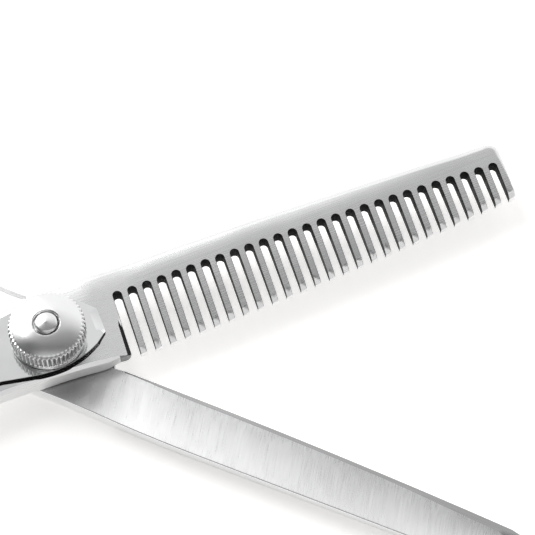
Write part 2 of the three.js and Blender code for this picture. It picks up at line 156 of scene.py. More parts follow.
def inward(loop):
    """For each corner of a closed loop with material on its left, the step into the material."""
    before = loop - np.roll(loop, 1, axis=0)
    after = np.roll(loop, -1, axis=0) - loop
    turned = [np.stack([-v[:, 1], v[:, 0]], axis=1) for v in (before, after)]
    turned = [v / np.maximum(np.linalg.norm(v, axis=1, keepdims=True), 1e-9) for v in turned]
    both = turned[0] + turned[1]
    both /= np.maximum(np.linalg.norm(both, axis=1, keepdims=True), 1e-9)
    spread = np.maximum((both * turned[1]).sum(axis=1, keepdims=True), 0.6)
    return both / spread


def inside(loops, spots):
    """Which spots lie inside an odd number of loops."""
    odd = np.zeros(len(spots), bool)
    x, y = spots[:, 0], spots[:, 1]
    for loop in loops:
        for (x0, y0), (x1, y1) in zip(loop, np.roll(loop, -1, axis=0)):
            if y0 == y1:
                continue
            crosses = (y0 > y) != (y1 > y)
            odd ^= crosses & (x < x0 + (y - y0) * (x1 - x0) / (y1 - y0))
    return odd


# ---- solids from a plan outline -----------------------------------------------------------------
class Loop:
    """One closed edge of a plan outline, with the rounding of its top and bottom corners.
    round_top and round_bottom are (how far in, how far down) for each point, zone is the material
    of the wall at each point, zone_low and zone_high those of its corners, spread is how much further
    out the wall's foot stands, and bevel turns the rounding of the top corner into a straight bevel."""

    def __init__(self, spots, round_top, round_bottom, zone, spread=0.0, bevel=0.0, zone_low=None,
                 zone_high=None):
        self.spots = spots
        self.bevel = np.broadcast_to(np.asarray(bevel, float), (len(spots),))[:, None]
        self.spread = np.broadcast_to(np.asarray(spread, float), (len(spots),))[:, None]
        self.round_top = np.broadcast_to(np.asarray(round_top, float), (len(spots), 2))
        self.round_bottom = np.broadcast_to(np.asarray(round_bottom, float), (len(spots), 2))
        zones = [zone if other is None else other for other in (zone_low, zone, zone_high)]
        self.zones = [np.broadcast_to(each, (len(spots),)) for each in zones]


CORNER_STEPS = 6
SOFT_CORNER = 0.28  # corners rounded by more than this are shaded smoothly into the face


def wall_rows(loop, top, bottom):
    """Rows of points up a wall: from the bottom face, round its corner, up, and over the top corner."""
    step = inward(loop.spots)
    room = np.maximum(top(loop.spots) - bottom(loop.spots), 0.05) * 0.49
    rows = []
    turns = [k / CORNER_STEPS for k in range(CORNER_STEPS + 1)]
    foot = loop.spots - step * loop.spread
    for edge, surface, rounding, bevel, sign, order in (
        (foot, bottom, loop.round_bottom, 0 * loop.bevel, 1, turns[::-1]),
        (loop.spots, top, loop.round_top, loop.bevel, -1, turns),
    ):
        for turn in order:
            angle = math.radians(90 * turn)
            inset = mix(1 - math.cos(angle), turn, bevel)
            rest = mix(1 - math.sin(angle), 1 - turn, bevel)
            spots = edge + step * (rounding[:, :1] * inset)
            drop = np.minimum(rounding[:, 1], room) * rest[:, 0]
            rows.append(np.column_stack([spots, surface(spots) + sign * drop]))
    return rows


def fill(rims, creases, grid):
    """Triangles that fill the region between rims, keeping the crease lines, with extra points."""
    rims = [rim.astype(np.float32).astype(float) for rim in rims]  # as the triangulation rounds them
    spots = [tuple(p) for rim in rims for p in rim]
    edges = []
    first = 0
    for rim in rims:
        count = len(rim)
        edges += [(first + i, first + (i + 1) % count) for i in range(count)]
        first += count
    for crease in creases:
        start = len(spots)
        spots += [tuple(p) for p in crease]
        edges += [(start + i, start + i + 1) for i in range(len(crease) - 1)]
    extra = grid[inside(rims, grid)]
    fixed = np.array(spots)
    room = np.array([np.min(np.hypot(*(fixed - p).T)) for p in extra])
    spots += [tuple(p) for p in extra[room > 0.28]]
    cdt = geometry.delaunay_2d_cdt([Vector(p) for p in spots], edges, [], 0, 1e-5)
    verts = np.array([tuple(v) for v in cdt[0]])
    faces = np.array([f for f in cdt[2] if len(f) == 3])
    faces = faces[inside(rims, verts[faces].mean(axis=1))]
    source = [origin[0] if origin else -1 for origin in cdt[3]]
    return verts, faces, source


def staggered(low, high, step):
    """Points on a grid whose rows are shifted by half a step."""
    rows = []
    for k, y in enumerate(np.arange(low[1], high[1], step * 0.87)):
        xs = np.arange(low[0], high[0], step) + (k % 2) * step / 2
        rows.append(np.stack([xs, np.full(len(xs), y)], axis=1))
    return np.vstack(rows)


def plan_solid(name, loops, top, bottom, top_creases, bottom_creases, grid, face_zone, turn):
    """A closed mesh from a plan outline, a top and a bottom surface, turned about the pivot."""
    bm = bmesh.new()
    corner_rows = []
    exact = []
    creases = []
    for loop in loops:
        rows = wall_rows(loop, top, bottom)
        made = [[bm.verts.new(p) for p in row] for row in rows]
        corner_rows.append((rows, made))
        count = len(loop.spots)
        for row, (low, high) in enumerate(zip(made, made[1:])):
            zone = loop.zones[(row >= CORNER_STEPS) + (row > CORNER_STEPS)]
            for i in range(count):
                j = (i + 1) % count
                face = bm.faces.new((low[i], low[j], high[j], high[i]))
                face.material_index = int(zone[i])
                if high is made[-1] and loop.bevel[i]:
                    creases.append(bm.edges.get((high[i], high[j])))
                elif high is made[-1] and loop.round_top[i, 0] > SOFT_CORNER:
                    exact.append((face, top, 1, (high[i], high[j])))
                if low is made[0] and loop.round_bottom[i, 0] > SOFT_CORNER:
                    exact.append((face, bottom, -1, (low[i], low[j])))
    for which, surface, lines, flip in ((-1, top, top_creases, False), (0, bottom, bottom_creases, True)):
        rims = [rows[which][:, :2] for rows, _ in corner_rows]
        rim_verts = [v for _, made in corner_rows for v in made[which]]
        verts, faces, source = fill(rims, lines, grid)
        height = surface(verts)
        made = []
        for i, place in enumerate(verts):
            known = 0 <= source[i] < len(rim_verts)
            made.append(rim_verts[source[i]] if known else bm.verts.new((place[0], place[1], height[i])))
        for face in faces:
            corners = [made[i] for i in (face[::-1] if flip else face)]
            if len(set(corners)) == 3:
                new = bm.faces.new(corners)
                centre = verts[face].mean(axis=0)
                new.material_index = face_zone(centre, flip)
                exact.append((new, surface, -1 if flip else 1, tuple(new.verts)))
    return finish_mesh(name, bm, turn, exact=exact, creases=creases)


def surface_normals(surface, spots):
    """Upward normals of the surface z = surface(spots)."""
    step = 0.004  # shorter than the gap between a corner moved off a crease and the crease
    along_x = (surface(spots + (step, 0)) - surface(spots - (step, 0))) / (2 * step)
    along_y = (surface(spots + (0, step)) - surface(spots - (0, step))) / (2 * step)
    normals = np.column_stack([-along_x, -along_y, np.ones(len(spots))])
    return normals / np.linalg.norm(normals, axis=1, keepdims=True)


def exact_corners(exact):
    """For faces on a known surface: face and corner numbers, and the surface's normal there, taken a
    little way into the face so that it doesn't mix both sides of a crease."""
    found = []
    for face, surface, way, verts in exact:
        centre = np.array(face.calc_center_median()[:2])
        for k, vert in enumerate(face.verts):
            if vert in verts:
                found.append((surface, way, face.index, k, mix(np.array(vert.co[:2]), centre, 0.1)))
    rows = []
    for surface in {row[0] for row in found}:
        mine = [row for row in found if row[0] is surface]
        normals = surface_normals(surface, np.array([row[4] for row in mine]))
        rows += [(row[2], row[3], normal * row[1]) for row, normal in zip(mine, normals)]
    return rows


def finish_mesh(name, bm, turn=0.0, crease_angle=28, exact=(), creases=()):
    """Turns a bmesh in millimetres into an object in metres, with sharp edges and creases kept sharp.
    exact lists faces on a known surface: (face, surface, 1 or -1 for its upper or lower side, corners
    on it)."""
    bmesh.ops.recalc_face_normals(bm, faces=bm.faces)
    bm.faces.index_update()
    corners = exact_corners(exact)
    cos, sin = math.cos(turn), math.sin(turn)
    for vert in bm.verts:
        x, y, z = vert.co
        vert.co = Vector((x * cos - y * sin, x * sin + y * cos, z)) * MM
    for face in bm.faces:
        face.smooth = True
    for edge in bm.edges:
        edge.smooth = not edge.is_manifold or edge.calc_face_angle(0) < math.radians(crease_angle)
    for edge in creases:
        edge.smooth = False
    mesh = bpy.data.meshes.new(name)
    bm.to_mesh(mesh)
    bm.free()
    piece = bpy.data.objects.new(name, mesh)
    bpy.context.scene.collection.objects.link(piece)
    if corners:
        normals = np.zeros((len(mesh.loops), 3))
        for face, corner, (x, y, z) in corners:
            normals[mesh.polygons[face].loop_start + corner] = (x * cos - y * sin, x * sin + y * cos, z)
        mesh.normals_split_custom_set(normals.tolist())
    else:
        weighted = piece.modifiers.new("weighted_normals", "WEIGHTED_NORMAL")
        weighted.keep_sharp = True
        weighted.weight = 60
    return piece


# ---- the handle that both halves share ----------------------------------------------------------
def handle(ring):
    """Outline of a shank and ring, drawn for the toothed half: the outer edge from the ring to the
    pivot, and the inner edge from the pivot to the ring and round it."""
    outer_axes = RING_AXES + RING_WALL / 2
    meet = arc(ring, outer_axes, 17, 18, 1)[0]
    heading = arc(ring, outer_axes, 21, 22, 1)[0] - meet
    heading /= np.linalg.norm(heading)
    shank_outer = through(SHANK[::-1, :2], 44)
    shank_outer = shank_outer[shank_outer[:, 0] > ring[0] + 19]
    join = bezier(meet, meet + heading * 3.4, shank_outer[0] - np.array([3.6, -0.1]), shank_outer[0], 10)
    outer = np.vstack([join, shank_outer])
    ring_top = ring[1] + outer_axes[1]
    knots = [*SHANK[:, [0, INNER]], (ring[0] + 4, ring_top - 0.16), (ring[0], ring_top)]
    inner = np.vstack([through(knots, 56), arc(ring, outer_axes, 90, 377, 90)])
    return outer, inner


def shank_level(x, column):
    """Level of the handle's underside (LOW) or top (HIGH)."""
    ring = (0, RING_TOP)[column - LOW]
    return np.interp(-np.asarray(x), [*-SHANK[:, 0], 52], [*SHANK[:, column], ring])


def shank_edge(x, column):
    """The shank's OUTER or INNER edge."""
    return np.interp(-x, -SHANK[:, 0], SHANK[:, column])


def handle_rounding(x):
    """Rounding of the handle's corners: full on the ring, small at the pivot."""
    share = smoothstep(-10, -27, x)
    full = mix(2.35, 2.05, smoothstep(-40, -48, x))
    width = np.minimum((shank_edge(x, INNER) - shank_edge(x, OUTER)) * 0.44, full)
    return np.column_stack([mix(0.25, width, share), mix(0.3, 2.65, share)])


def labelled(parts):
    """The points of an outline's named parts in one list, and the name of the part of each."""
    return np.vstack(list(parts.values())), np.repeat(list(parts), [len(part) for part in parts.values()])


def corner_roundings(x, names, blade):
    """Roundings of the top and bottom corners: the handle's, with the blade's parts by name."""
    round_top = handle_rounding(x)
    round_bottom = handle_rounding(x)
    for name, (upper, lower) in blade.items():
        round_top[names == name] = upper
        round_bottom[names == name] = lower
    return round_top, round_bottom


def change_rounding(rounding, which, start, end, share):
    """Lets the rounding go from start to end along some of an outline's points."""
    start, end = (np.broadcast_to(value, rounding.shape)[which] for value in (start, end))
    rounding[which] = mix(start, end, share[which, None])


def hole(centre, axes, rounding, count=64):
    """The edge of a round hole."""
    return Loop(arc(centre, axes, 360, 0, count), rounding, rounding, POLISHED)


def blade_grid(handle_low, handle_high):
    """Points for a half's faces: fine ones over the blade and coarser ones over the handle."""
    return np.vstack([staggered((-18, -8), (68, 8), 0.8), staggered(handle_low, handle_high, 1.3)])


# ---- toothed half -------------------------------------------------------------------------------
# Zones of a half, each a material. The slots' walls and roofs get near-black skins: painted shade.
SATIN, POLISHED, PAINTED_SHADE_WALL, PAINTED_SHADE_ROOF, BEVEL, HOLLOW, HONED, HEEL_WALL_PAINTED_LIGHT = range(8)


def toothed_spine(x):
    return 6.8 - 0.00065 * (x - 16) ** 2


def slot_roof(x):
    return 3.15 - 0.00064 * (x - 25) ** 2


def tip_line(x):
    return -6.05 + 0.015 * (x - 10.4) + 0.00067 * (x - 10.4) ** 2


def slot_spot(index, across, y):
    """A point on a slot's side: across from its middle, at height y, along the slot's lean."""
    middle = FIRST_SLOT + SLOT_PITCH * index
    centre_y = slot_roof(middle) - SLOT_WIDTH / 2
    run = (y - centre_y) / math.cos(SLOT_LEAN)
    x = middle + across * math.cos(SLOT_LEAN) - run * math.sin(SLOT_LEAN)
    return np.array([x, y + across * math.sin(SLOT_LEAN)])


HEEL_CORNER_LEVEL = -5.76  # where the first slot's left side starts, at the heel


def slot_side(index, side, upwards):
    """One side of a slot, from the tooth's end to the roof or back."""
    middle = FIRST_SLOT + SLOT_PITCH * index
    half = side * SLOT_WIDTH / 2
    end_x = slot_spot(index, half, tip_line(middle))[0]
    end = HEEL_CORNER_LEVEL if (index, side) == (0, -1) else tip_line(end_x)
    stops = [end, end + TIP_BEVEL, mix(end, slot_roof(middle), 0.4), mix(end, slot_roof(middle), 0.65)]
    spots = np.array([slot_spot(index, half, y) for y in stops])
    return spots if upwards else spots[::-1]


def slot_outline(index):
    """Up the left side of a slot, over its round roof and down the right side."""
    middle = FIRST_SLOT + SLOT_PITCH * index
    centre = (middle, slot_roof(middle) - SLOT_WIDTH / 2)
    lean = math.degrees(SLOT_LEAN)
    roof = arc(centre, (SLOT_WIDTH / 2,) * 2, 180 + lean, -1 + lean, 14)
    return np.vstack([slot_side(index, -1, True), roof, slot_side(index, 1, False)])


HEEL_FACET = points((8.98, -1.6), (8.62, -6.1))  # where the heel's corner facet starts
HEEL_FACET_SLOPE = 1.35


def facet_drop(spots):
    """How far the heel's corner facet lies below the outer face."""
    along = HEEL_FACET[1] - HEEL_FACET[0]
    normal = np.array([-along[1], along[0]]) / np.linalg.norm(along)
    return HEEL_FACET_SLOPE * np.maximum((spots - HEEL_FACET[0]) @ normal, 0)


PAD_STEP = 0.14  # height of the pad over the outer face at the line of the slots' roofs
COMB_DROP = 0.53  # how much lower the outer face lies over the comb
TEETH_CURVE = 0.005  # how quickly the teeth's outer face steepens towards their ends
END_SLOPE = 0.53  # slope of the bevel at the teeth's ends
COMB_START = FIRST_SLOT - 0.3  # the heel is to the left of this


def roof_level(x):
    """Level of the toothed half's outer face at the line of the slots' roofs."""
    blade = PAD_TOP - PAD_STEP - COMB_DROP * smoothstep(6, 14, x)
    return np.where(x < -2, shank_level(x, HIGH) - PAD_STEP * smoothstep(-21, -13, x), blade)


def toothed_face(spots):
    """Outer face round the pad and over the comb: a slope towards the heel's edge and the teeth's ends
    that turns back before the spine."""
    x, y = spots[:, 0], spots[:, 1]
    slope = np.interp(x, [4, 14, 66], [0.045, 0.085, 0.12])
    width = toothed_spine(x) - slot_roof(x)
    above = np.clip((y - slot_roof(x)) / width, 0, 1)
    turn_back = mix(3, 0.5, smoothstep(40, 64, x))
    rise = slope * width * (above - turn_back * above ** 3 / 3)
    below = np.maximum(0, slot_roof(x) - y)
    teeth = np.where(x > COMB_START, TEETH_CURVE * below ** 2, 0)
    return roof_level(x) + (rise - slope * below - teeth) * smoothstep(-20, -9, x)


def toothed_top(spots):
    x, y = spots[:, 0], spots[:, 1]
    past_heel = x > COMB_START
    bevel = END_SLOPE * np.where(past_heel, np.maximum(0, tip_line(x) + TIP_BEVEL - y), 0)
    return toothed_face(spots) - bevel - np.where(past_heel | (y > -1.5), 0, facet_drop(spots))


# Where the heel's underside starts to rise towards its corner: a spot, the direction and the slope
HEEL_RELIEF = points((5, -6.3), (0.51, -0.86))
HEEL_RELIEF_SLOPE = 0.35
TOOTHED_HOLLOW_DEPTH = 0.22
TOOTHED_HOLLOW_REACH = 5.2


def toothed_bottom(spots):
    x, y = spots[:, 0], spots[:, 1]
    low = np.where(x < -2, shank_level(x, LOW), TOOTHED_BOTTOM)
    across = (y - (toothed_spine(x) + tip_line(x)) / 2) / TOOTHED_HOLLOW_REACH
    hollow = TOOTHED_HOLLOW_DEPTH * np.clip(1 - across ** 2, 0, 1) * smoothstep(9, 12, x)
    past = (spots - HEEL_RELIEF[0]) @ HEEL_RELIEF[1]
    relief = np.where(x < COMB_START, HEEL_RELIEF_SLOPE * np.maximum(0, past), 0)
    return low + hollow + relief


PAD_WALL_SLOPE = 0.75  # how far the pad's wall stands out for each millimetre down
PAD_BEVEL = 1.1  # width of the bevel at the pad's right end
PAD_TILT = 0.05  # how quickly the pad falls towards its right end
PAD_TAIL = -20
PAD_CORNERS = points((5.5, -3.33), (7.12, -2), (7.13, 1.56), (5.12, 3.55))  # of its right end


def pad_sunk(spots):
    """How far the pad reaches into the outer face."""
    return mix(0.08, 0.5, smoothstep(5.8, 7.1, spots[:, 0]))


def pad_top(spots):
    return shank_level(spots[:, 0], HIGH) - PAD_TILT * np.maximum(0, spots[:, 0] - 3.5)


def pad_bottom(spots):
    return toothed_face(spots) - pad_sunk(spots)


def pad_outline():
    """A bulging lower edge, a right end with four corners, and an upper edge that tapers to the left."""
    bulge = points((-7.7, -3.9), (-5.4, -4.36), (-3, -4.8), (-0.9, -4.99), (1, -4.9), (2.7, -4.55),
                   (4.2, -4), PAD_CORNERS[0])
    shoulder = bezier(PAD_CORNERS[3], (3.6, 4.6), (1, 5.3), (-2, 5.3), 10)
    steps = (0.2, 0.5, 0.5)
    ends = [line(start, end, step) for start, end, step in zip(PAD_CORNERS, PAD_CORNERS[1:], steps)]
    upper = points((-2, 5.3), (-7, 4.6), (-13, 2.6), (PAD_TAIL, 0))
    taper = [line(start, end, 1) for start, end in zip(upper, upper[1:])]
    return np.vstack([line((PAD_TAIL, -2.6), bulge[0], 1), through(bulge, 30), *ends, shoulder, *taper])


def pad_plate():
    """The raised flat round the pivot: mirror-polished, with a steep wall and a shallow bevel at its
    right end. The wall of its lower right corner gets the second material, the slots' near-black one:
    painted shade."""
    spots = pad_outline()
    x, y = spots[:, 0], spots[:, 1]
    step = pad_top(spots) - toothed_face(spots)
    bevel = smoothstep(np.where(y < 0, 6.75, 5.8), 7.1, x)
    inset = mix(0.05, PAD_BEVEL, bevel)
    round_top = np.column_stack([inset, inset * (step - 0.02) / PAD_BEVEL])
    spread = (step + pad_sunk(spots) - round_top[:, 1]) * PAD_WALL_SLOPE
    # the lower right corner's wall gets the near-black skin: painted shade
    painted_shade_corner = (x > 5.3) & (y < -1.9)
    rim = arc((0, 0), (BUSH_HOLE, BUSH_HOLE), 360, 0, 64)
    loops = [Loop(spots, round_top, (0.01, 0.01), painted_shade_corner, spread, 1.0, zone_high=0),
             Loop(rim, (0.05, 0.05), (0.01, 0.01), 0)]
    grid = staggered((PAD_TAIL, -6), (8, 6), 1.2)
    return plan_solid("pad", loops, pad_top, pad_bottom, [], [], grid, lambda *spot: 0, HALF_OPENING)


WALL_SPREAD = 0.12  # how far the heel's wall stands out at its foot
HEEL_BEVEL = np.array([0.5, 0.3])  # bevel along the heel's upper edge: how far in, how far down
HEEL_END_BEVEL = np.array([0.17, 0.12])
HEEL_END = 7.4  # the heel's last facet is to the right of this
SPINE_ROUNDING = (1.15, 1)
SPINE_TIP_ROUNDING = (0.95, 0.85)
SIDE_ROUNDINGS = ((0.18, 0.2), (0.7, 0.65))  # at the lower and upper end of the comb's end face
CRISP_FROM = -16  # right of this the outer edge has the heel's bevel
TOOTHED_ROUNDINGS = {
    "heel": (HEEL_BEVEL, (0.25, 0.3)),
    "corner": ((0.1, 0.08), (0.05, 0.05)),
    "teeth": ((0.05, 0.05), (0.05, 0.05)),
    "end": ((0.06, 0.06), (0.05, 0.05)),
    "side": (SIDE_ROUNDINGS[0], (0.06, 0.06)),
    "turn": ((0.85, 0.75), (0.1, 0.12)),
    "spine": (SPINE_ROUNDING, (0.3, 0.35)),
}
TOOTHED_WALLS = {"teeth": PAINTED_SHADE_WALL, "heel": HEEL_WALL_PAINTED_LIGHT, "corner": HONED, "end": BEVEL, "side": SATIN,
                 "turn": SATIN, "spine": SATIN}


def heel_line(x):
    bevelled = np.where(x < 0, -5.63 - 0.03 * x, -5.63 - 0.05 * x - 0.0055 * x ** 2)
    return bevelled + (HEEL_BEVEL - HEEL_END_BEVEL)[0] * smoothstep(5.5, 8.2, x)


def last_tooth_end():
    """The lower end of the last tooth, past the last slot."""
    x = TOOTHED_TIP - 0.68
    low = tip_line(65.5)
    return points((x - 0.12, low), (x, low + 0.12), (x + 0.08, low + TIP_BEVEL))


def toothed_outline():
    outer, inner = handle(THUMB_RING)
    outer[:, 1] += WALL_SPREAD * smoothstep(-22, -7, outer[:, 0])
    side_low = (TOOTHED_TIP - 0.48, -1.5)
    side_high = (TOOTHED_TIP - 0.03, 3.1)
    turn_end = 64.2
    top = toothed_spine(turn_end)
    return labelled({
        "outer": outer,
        "heel": graph(heel_line, np.arange(-1.2, 8.3, 0.8)),
        "corner": points((8.45, -6.14), (8.62, -6.12), (9.0, -5.94)),
        "teeth": np.vstack([slot_outline(index) for index in range(SLOTS)]),
        "end": last_tooth_end(),
        "side": line(side_low, side_high, 0.9),
        "turn": bezier(side_high, (TOOTHED_TIP + 0.1, 4.5), (65.9, top - 0.1), (turn_end, top), 12),
        "spine": graph(toothed_spine, np.arange(turn_end, 2, -1.3)),
        "inner": inner,
    })


def toothed_roundings(spots, names):
    x, y = spots[:, 0], spots[:, 1]
    round_top, round_bottom = corner_roundings(x, names, TOOTHED_ROUNDINGS)
    crisp = (names == "outer") & (x > CRISP_FROM)
    change_rounding(round_top, crisp, HEEL_BEVEL, round_top, smoothstep(-10, CRISP_FROM, x))
    change_rounding(round_top, names == "heel", HEEL_BEVEL, HEEL_END_BEVEL, smoothstep(5.5, 8.2, x))
    near_pivot = (names == "inner") & (x > -12)
    change_rounding(round_top, near_pivot, round_top, SPINE_ROUNDING, smoothstep(-12, 2, x))
    change_rounding(round_top, names == "spine", SPINE_ROUNDING, SPINE_TIP_ROUNDING, smoothstep(60, 65, x))
    change_rounding(round_top, names == "side", *SIDE_ROUNDINGS, smoothstep(-1.5, 3.1, y))
    return round_top, round_bottom


def toothed_wall_zones(spots, names):
    x = spots[:, 0]
    zone = np.array([TOOTHED_WALLS.get(name, POLISHED) for name in names])
    # the heel's outer wall gets the bright, mostly non-metal steel: painted light
    zone[(names == "outer") & (x > CRISP_FROM)] = HEEL_WALL_PAINTED_LIGHT
    zone[(names == "heel") & (x > HEEL_END)] = HONED
    roof_start = slot_roof(x) - SLOT_WIDTH / 2 - 0.1
    zone[(names == "teeth") & (spots[:, 1] > roof_start)] = PAINTED_SHADE_ROOF
    slot_points = len(slot_outline(0))
    tooth_ends = np.flatnonzero(names == "teeth")[slot_points - 1::slot_points]
    zone[tooth_ends] = BEVEL
    return zone


def toothed_face_zone(centre, under):
    x, y = centre
    if under:
        return HOLLOW if x > -4 else POLISHED
    if x > 9.9 and y < tip_line(x) + TIP_BEVEL:
        return BEVEL
    # the heel's corner facet gets the slots' near-black skin: painted shade
    if 8.2 < x < 9.9 and -6.2 < y < -1.55 and facet_drop(centre[None])[0] > 0.02:
        return PAINTED_SHADE_WALL
    return SATIN if x > -6 else POLISHED


def tooth_bevels():
    """The upper line of the bevel across each tooth's end."""
    bevels = []
    for index in range(SLOTS):
        last = index + 1 == SLOTS
        left = slot_side(index, 1, True)[1]
        right = last_tooth_end()[2] - (0.2, 0) if last else slot_side(index + 1, -1, True)[1]
        margin = 0.15 if last else 0.06
        bevels.append(np.array([mix(left, right, margin), mix(right, left, margin)]))
    return bevels


def toothed_half():
    spots, names = toothed_outline()
    x = spots[:, 0]
    round_top, round_bottom = toothed_roundings(spots, names)
    zone = toothed_wall_zones(spots, names)
    bevel = np.isin(names, ("heel", "corner")) | ((names == "outer") & (x > CRISP_FROM))
    lower_side = np.isin(names, ("outer", "heel"))
    spread = np.where(lower_side, WALL_SPREAD * smoothstep(8, 5.2, x) * smoothstep(-22, -7, x), 0)
    zone_high = np.where((zone == HEEL_WALL_PAINTED_LIGHT) & (x < HEEL_END), BEVEL, zone)
    loops = [
        Loop(spots, round_top, round_bottom, zone, spread, bevel, zone_high=zone_high),
        hole(THUMB_RING, RING_AXES - RING_WALL / 2, RING_HOLE_ROUNDING, 84),
        hole((0, 0), (BUSH_HOLE, BUSH_HOLE), (0.05, 0.05)),
    ]
    facet = np.array([mix(HEEL_FACET[0], HEEL_FACET[1], t) for t in (0.03, 0.35, 0.7, 0.96)])
    return plan_solid("toothed_half", loops, toothed_top, toothed_bottom, [facet, *tooth_bevels()], [],
                      blade_grid((-76, -34), (-18, 4)), toothed_face_zone, HALF_OPENING)


# ---- plain half ---------------------------------------------------------------------------------
def plain_edge(x):
    return 0.3 - 0.00054 * np.maximum(0, x - 10) ** 2


def plain_spine(x):
    return -7.05 + 0.0125 * np.maximum(0, x - 52) ** 2 + 0.0021 * np.maximum(0, 24 - x) ** 2


def strip_width(x):
    """Width of the flat strip along the cutting edge."""
    return RIDE_STRIP * mix(0.35, 1, smoothstep(11, 20, x)) * mix(1, 1.8, smoothstep(45, 64, x))


def strip_border(x):
    """Where the strip along the cutting edge meets the hollow."""
    return plain_edge(x) - strip_width(x)


def hollow_border(x):
    """Where the hollow ends at the spine."""
    return plain_spine(x) + 0.2


def shank_border(x):
    """Inner side of the narrow ground strip along the plain half's shank."""
    return -shank_edge(x, OUTER) - 0.85


def plain_top(spots):
    x, y = spots[:, 0], spots[:, 1]
    handle_top = RING_TOP - shank_level(x, LOW)
    level = np.where(x < -25, np.maximum(handle_top, PLAIN_TOP), PLAIN_TOP)
    upper = strip_border(x)
    lower = hollow_border(x)
    across = (y - (upper + lower) / 2) / np.maximum((upper - lower) / 2, 0.1)
    hollow = HOLLOW_DEPTH * np.clip(1 - across ** 2, 0, 1) * smoothstep(HOLLOW_START, HOLLOW_START + 2, x)
    return level - hollow


def plain_bottom(spots):
    x, y = spots[:, 0], spots[:, 1]
    edge = plain_edge(x)
    width = edge - plain_spine(x)
    along = np.clip((x - 8) / (PLAIN_TIP - 8), 0, 1)
    low = 0.9 * along
    rise = np.clip((y - (edge - 0.5 * width)) / (0.5 * width), 0, 1)
    convex = (2.45 - low) * (1 - np.sqrt(np.clip(1 - rise ** 2, 0, 1))) * smoothstep(7, 12, x)
    return low + convex


PLAIN_ROUNDINGS = {
    "pivot": ((0.1, 0.1), (0.8, 0.7)),
    "spine": ((0.1, 0.1), (1.3, 1.1)),
    "point": ((0.1, 0.1), (0.5, 0.5)),
    "edge": ((0.03, 0.03), (0.04, 0.04)),
    "high": ((0.2, 0.2), (0.6, 0.5)),
}
SHANK_STRIP = (-14, -3)  # x of the ends of the ground strip along the shank


def plain_outline():
    outer, inner = handle((FINGER_RING[0], -FINGER_RING[1]))
    outer, inner = (edge[::-1] * (1, -1) for edge in (outer, inner))
    spine_end = PLAIN_TIP - 2.4
    edge_end = PLAIN_TIP - 3.2
    low, high = plain_spine(spine_end), plain_edge(edge_end)
    nose = (PLAIN_TIP, -3.1)
    return labelled({
        "inner": inner[inner[:, 0] < -2.5],
        "pivot": through([(-2, -6.45), (3, -6.35), (8, plain_spine(8)), (12, plain_spine(12))], 14),
        "spine": graph(plain_spine, np.arange(12, spine_end, 0.8)),
        "point": np.vstack([
            bezier((spine_end, low), (PLAIN_TIP - 1.2, low + 0.35), (PLAIN_TIP, -4), nose, 10),
            bezier(nose, (PLAIN_TIP, -2.3), (PLAIN_TIP - 1, high - 0.3), (edge_end, high), 10),
        ]),
        "edge": graph(plain_edge, np.arange(edge_end, 9.6, -0.9)),
        "high": bezier((9.2, 0.3), (7.8, 3.4), (4, 5.3), (-2, 5.45), 16),
        "outer": outer[outer[:, 0] < -2.5],
    })


def plain_creases():
    """Where the inner face's grindings meet: the hollow's start and borders, and the shank's strip."""
    blade_x = np.arange(HOLLOW_START + 0.4, PLAIN_TIP - 4, 0.9)
    strip = graph(strip_border, blade_x[blade_x > 10])
    border = graph(hollow_border, blade_x)
    shank_strip = graph(shank_border, np.arange(*SHANK_STRIP, 0.8))
    bulge = HOLLOW_START - 0.4
    start = bezier(strip[0], (bulge, -1.6), (bulge, -4.5), border[0], 8)
    return [start, border, strip, shank_strip]


def plain_face_zone(centre, under):
    x, y = centre
    if under:
        return SATIN if x > 4 else POLISHED
    if x > 8:
        return HONED if y > strip_border(x) else HOLLOW
    if x < -24:
        return POLISHED
    return HONED if SHANK_STRIP[0] < x < SHANK_STRIP[1] and y > shank_border(x) else HOLLOW


def plain_half():
    spots, names = plain_outline()
    round_top, round_bottom = corner_roundings(spots[:, 0], names, PLAIN_ROUNDINGS)
    zone_low = np.where(names == "spine", HONED, POLISHED)
    loops = [
        Loop(spots, round_top, round_bottom, POLISHED, zone_low=zone_low),
        hole(FINGER_RING, RING_AXES - RING_WALL / 2, RING_HOLE_ROUNDING, 84),
        Loop(arc((0, 0), (HEAD_HOLE, HEAD_HOLE), 360, 0, 64), (0.03, 0.03), (0.06, 0.06), POLISHED),
    ]
    return plan_solid("plain_half", loops, plain_top, plain_bottom, plain_creases(), [],
                      blade_grid((-82, -4), (-18, 34)), plain_face_zone, -HALF_OPENING)


# ---- round pieces -------------------------------------------------------------------------------
def spin(name, profile, segments, radius_at=None, closed=False, turn=0.0, zone_at=None):
    """A solid of revolution about Z from (radius, level) rows. radius_at(row, angle) changes a radius,
    zone_at(row, angle) gives the material of the faces above a row."""
    bm = bmesh.new()
    angles = np.arange(segments) * 2 * math.pi / segments
    rings = []
    for row, (radius, level) in enumerate(profile):
        if radius == 0:
            rings.append([bm.verts.new((0, 0, level))] * segments)
            continue
        radii = radius_at(row, angles) if radius_at else np.full(segments, radius)
        xy = zip(radii * np.cos(angles), radii * np.sin(angles))
        rings.append([bm.verts.new((x, y, level)) for x, y in xy])
    pairs = list(zip(rings, rings[1:])) + ([(rings[-1], rings[0])] if closed else [])
    for row, (low, high) in enumerate(pairs):
        for i in range(segments):
            j = (i + 1) % segments
            corners = list(dict.fromkeys((low[i], low[j], high[j], high[i])))
            face = bm.faces.new(corners)
            face.material_index = zone_at(row, angles[i] + math.pi / segments) if zone_at else 0
    return finish_mesh(name, bm, turn)


# ---- knob ---------------------------------------------------------------------------------------
KNOB_BASE = 6.05
KNOB_RADIUS = 5
KNOB_RIM = 0.75
KNOB_SIDE = 2.9
KNOB_MOUTH = 1.95
KNOB_BORE = 1.5
KNOB_TOP = 9.75
FLUTES = 50
FLUTE_DEPTH = 0.24
RECESS_RADIUS = 4.15
RECESS_TOP = 7.42


def knob_crown(radius):
    out = radius - KNOB_MOUTH
    return KNOB_TOP - 0.1 * out - 0.072 * out ** 2


